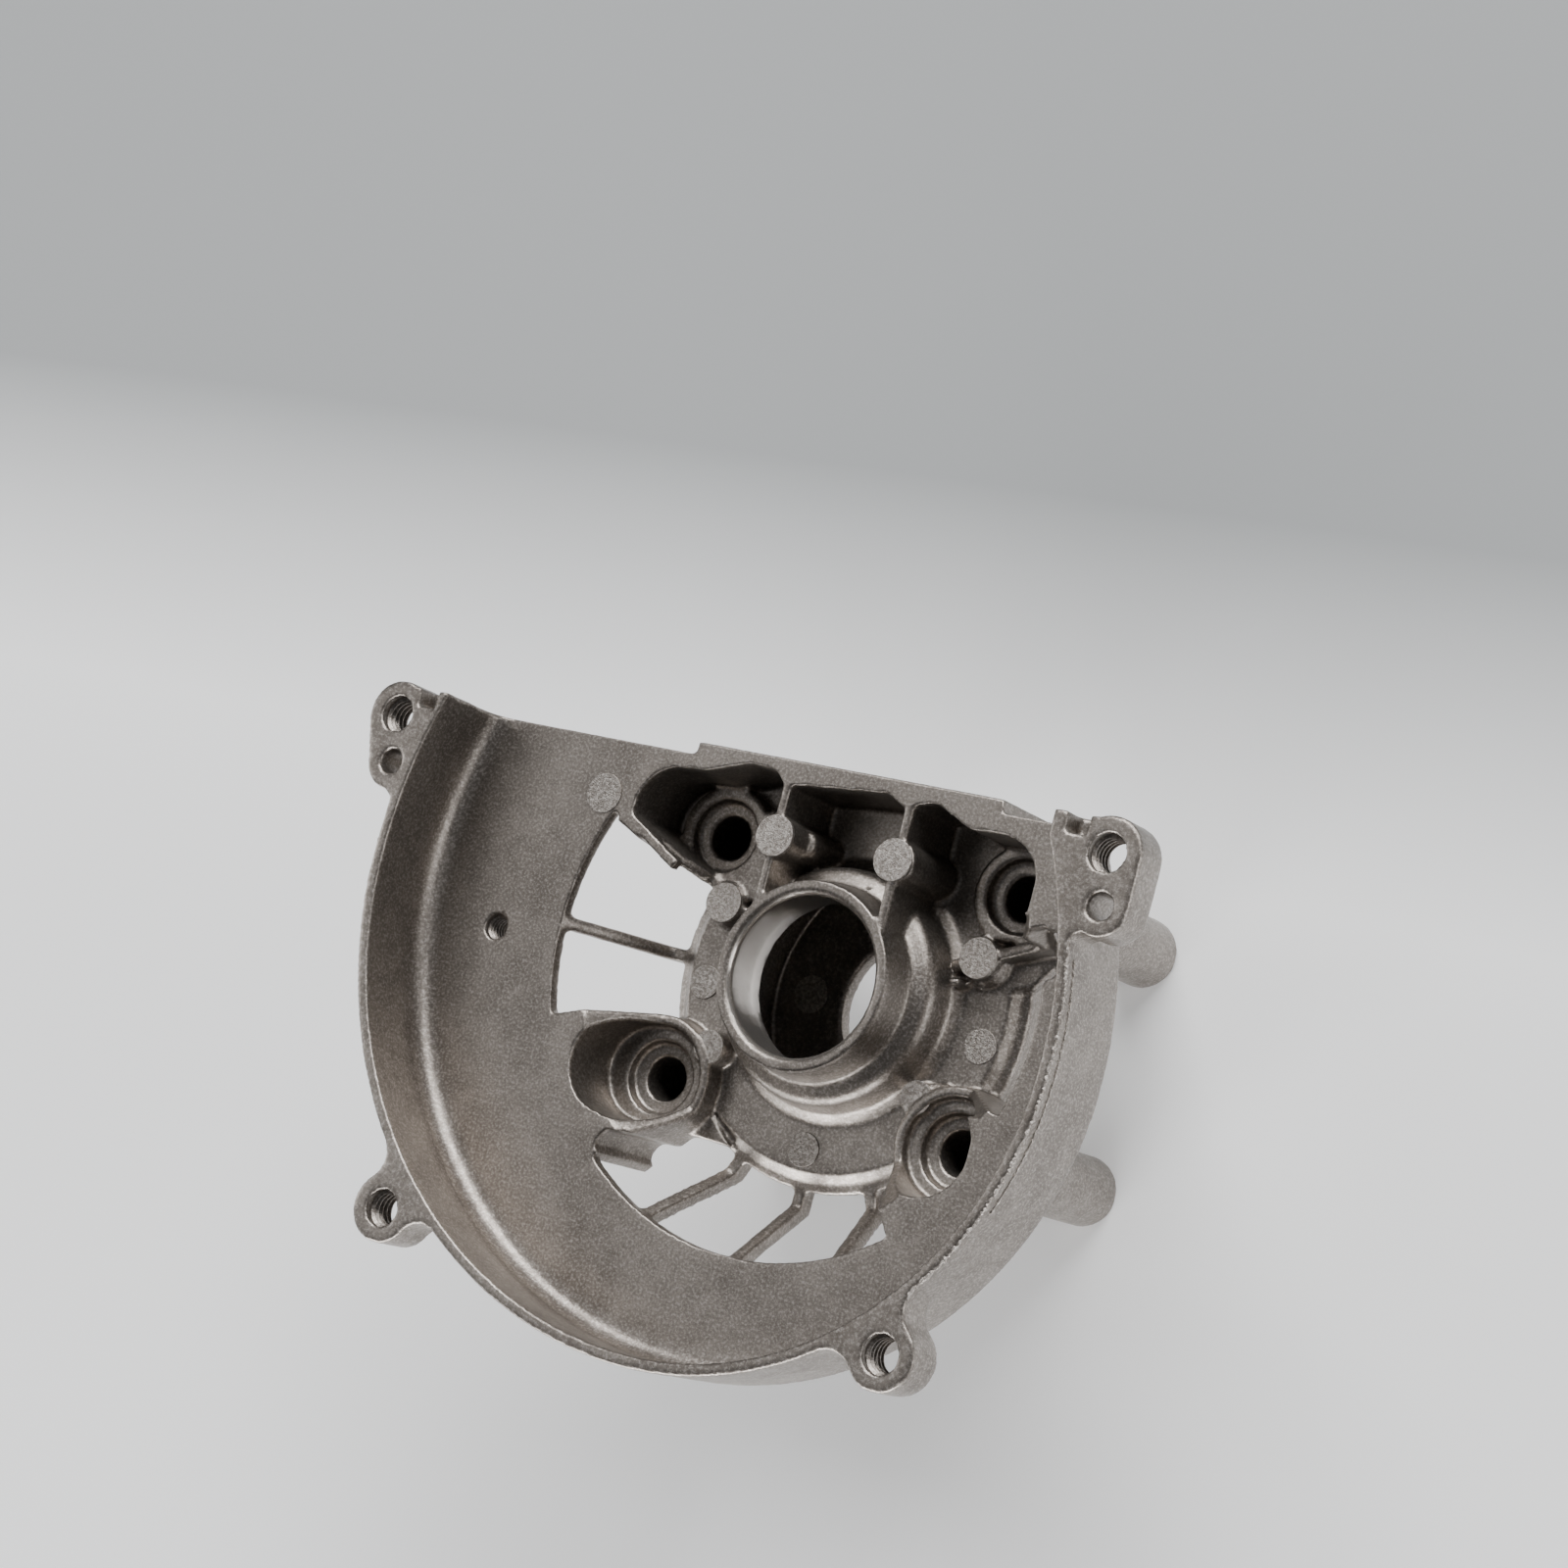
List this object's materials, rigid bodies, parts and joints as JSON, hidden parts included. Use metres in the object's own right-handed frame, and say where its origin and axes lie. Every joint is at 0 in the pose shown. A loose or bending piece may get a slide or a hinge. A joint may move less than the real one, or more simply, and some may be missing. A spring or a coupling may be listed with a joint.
{
  "type": "engine fan housing",
  "caption": "Die-cast aluminium fan housing with a spiral wall, a spoked air inlet, a stepped bearing hub and long screw posts behind it.",
  "frame": {"origin": "on the axis of the bearing bore, level with the fan floor and the face of the hub", "axes": "+Z along the bore axis, out of the open side of the scroll; +Y towards the straight outlet edge; +X towards the lug where the scroll starts"},
  "size_m": [0.1336, 0.0912, 0.071],
  "materials": {
    "housing": "as cast, satin grey, with machined hub bore and rim"
  },
  "bodies": {
    "root": {"housing": "housing"}
  },
  "joints": []
}
